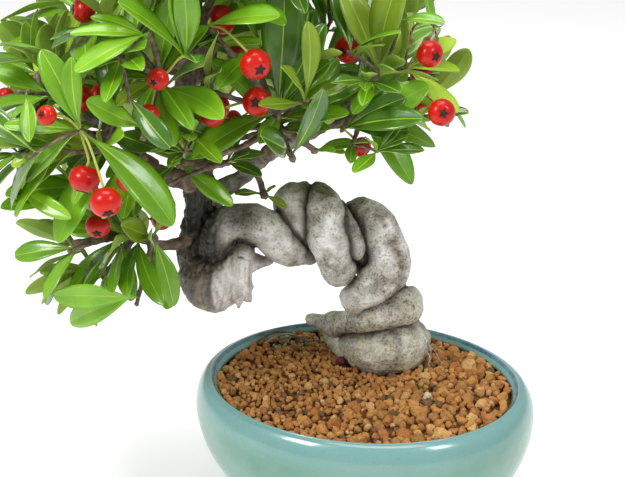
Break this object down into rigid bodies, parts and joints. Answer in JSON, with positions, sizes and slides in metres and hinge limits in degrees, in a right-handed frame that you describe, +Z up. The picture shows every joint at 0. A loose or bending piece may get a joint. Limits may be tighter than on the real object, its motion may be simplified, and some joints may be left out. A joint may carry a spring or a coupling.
{
  "type": "potted firethorn bonsai",
  "caption": "Small firethorn bonsai with a knotted, arching trunk, leafy crown and berries, planted in a shallow glazed oval pot.",
  "frame": {"origin": "centre of the pot's flat underside, where the plant stands", "axes": "+Z up; +X along the pot's long side, to the right as the front is seen; +Y to the back"},
  "size_m": [0.1501, 0.1289, 0.1861],
  "materials": {
    "glaze": "glossy turquoise glaze, bluer at the rim",
    "soil": "baked clay grains, matt orange brown",
    "bark": "smooth grey bark with fine dark specks and a moss tint low down",
    "young_bark": "brown young bark",
    "leaves": "glossy green leaves, paler below, with glossy orange red berries"
  },
  "bodies": {
    "root": {"pot": "glaze", "soil": "soil", "trunk": "bark", "leader": "young_bark", "bough_left": "young_bark", "bough_right": "young_bark", "bough_back": "young_bark", "bough_low": "young_bark", "bough_front": "young_bark", "bough_back_right": "young_bark", "bough_back_left": "young_bark", "bough_front_left": "young_bark", "bough_upper_back": "young_bark", "bough_fork": "young_bark", "bough_inner": "young_bark", "foliage_right": "leaves", "foliage_front": "leaves", "foliage_left": "leaves", "foliage_low_left": "leaves", "foliage_front_left": "leaves", "foliage_top": "leaves", "foliage_top_back": "leaves", "foliage_back": "leaves", "foliage_back_right": "leaves", "foliage_back_left": "leaves", "foliage_fork": "leaves", "foliage_inner": "leaves"}
  },
  "joints": []
}
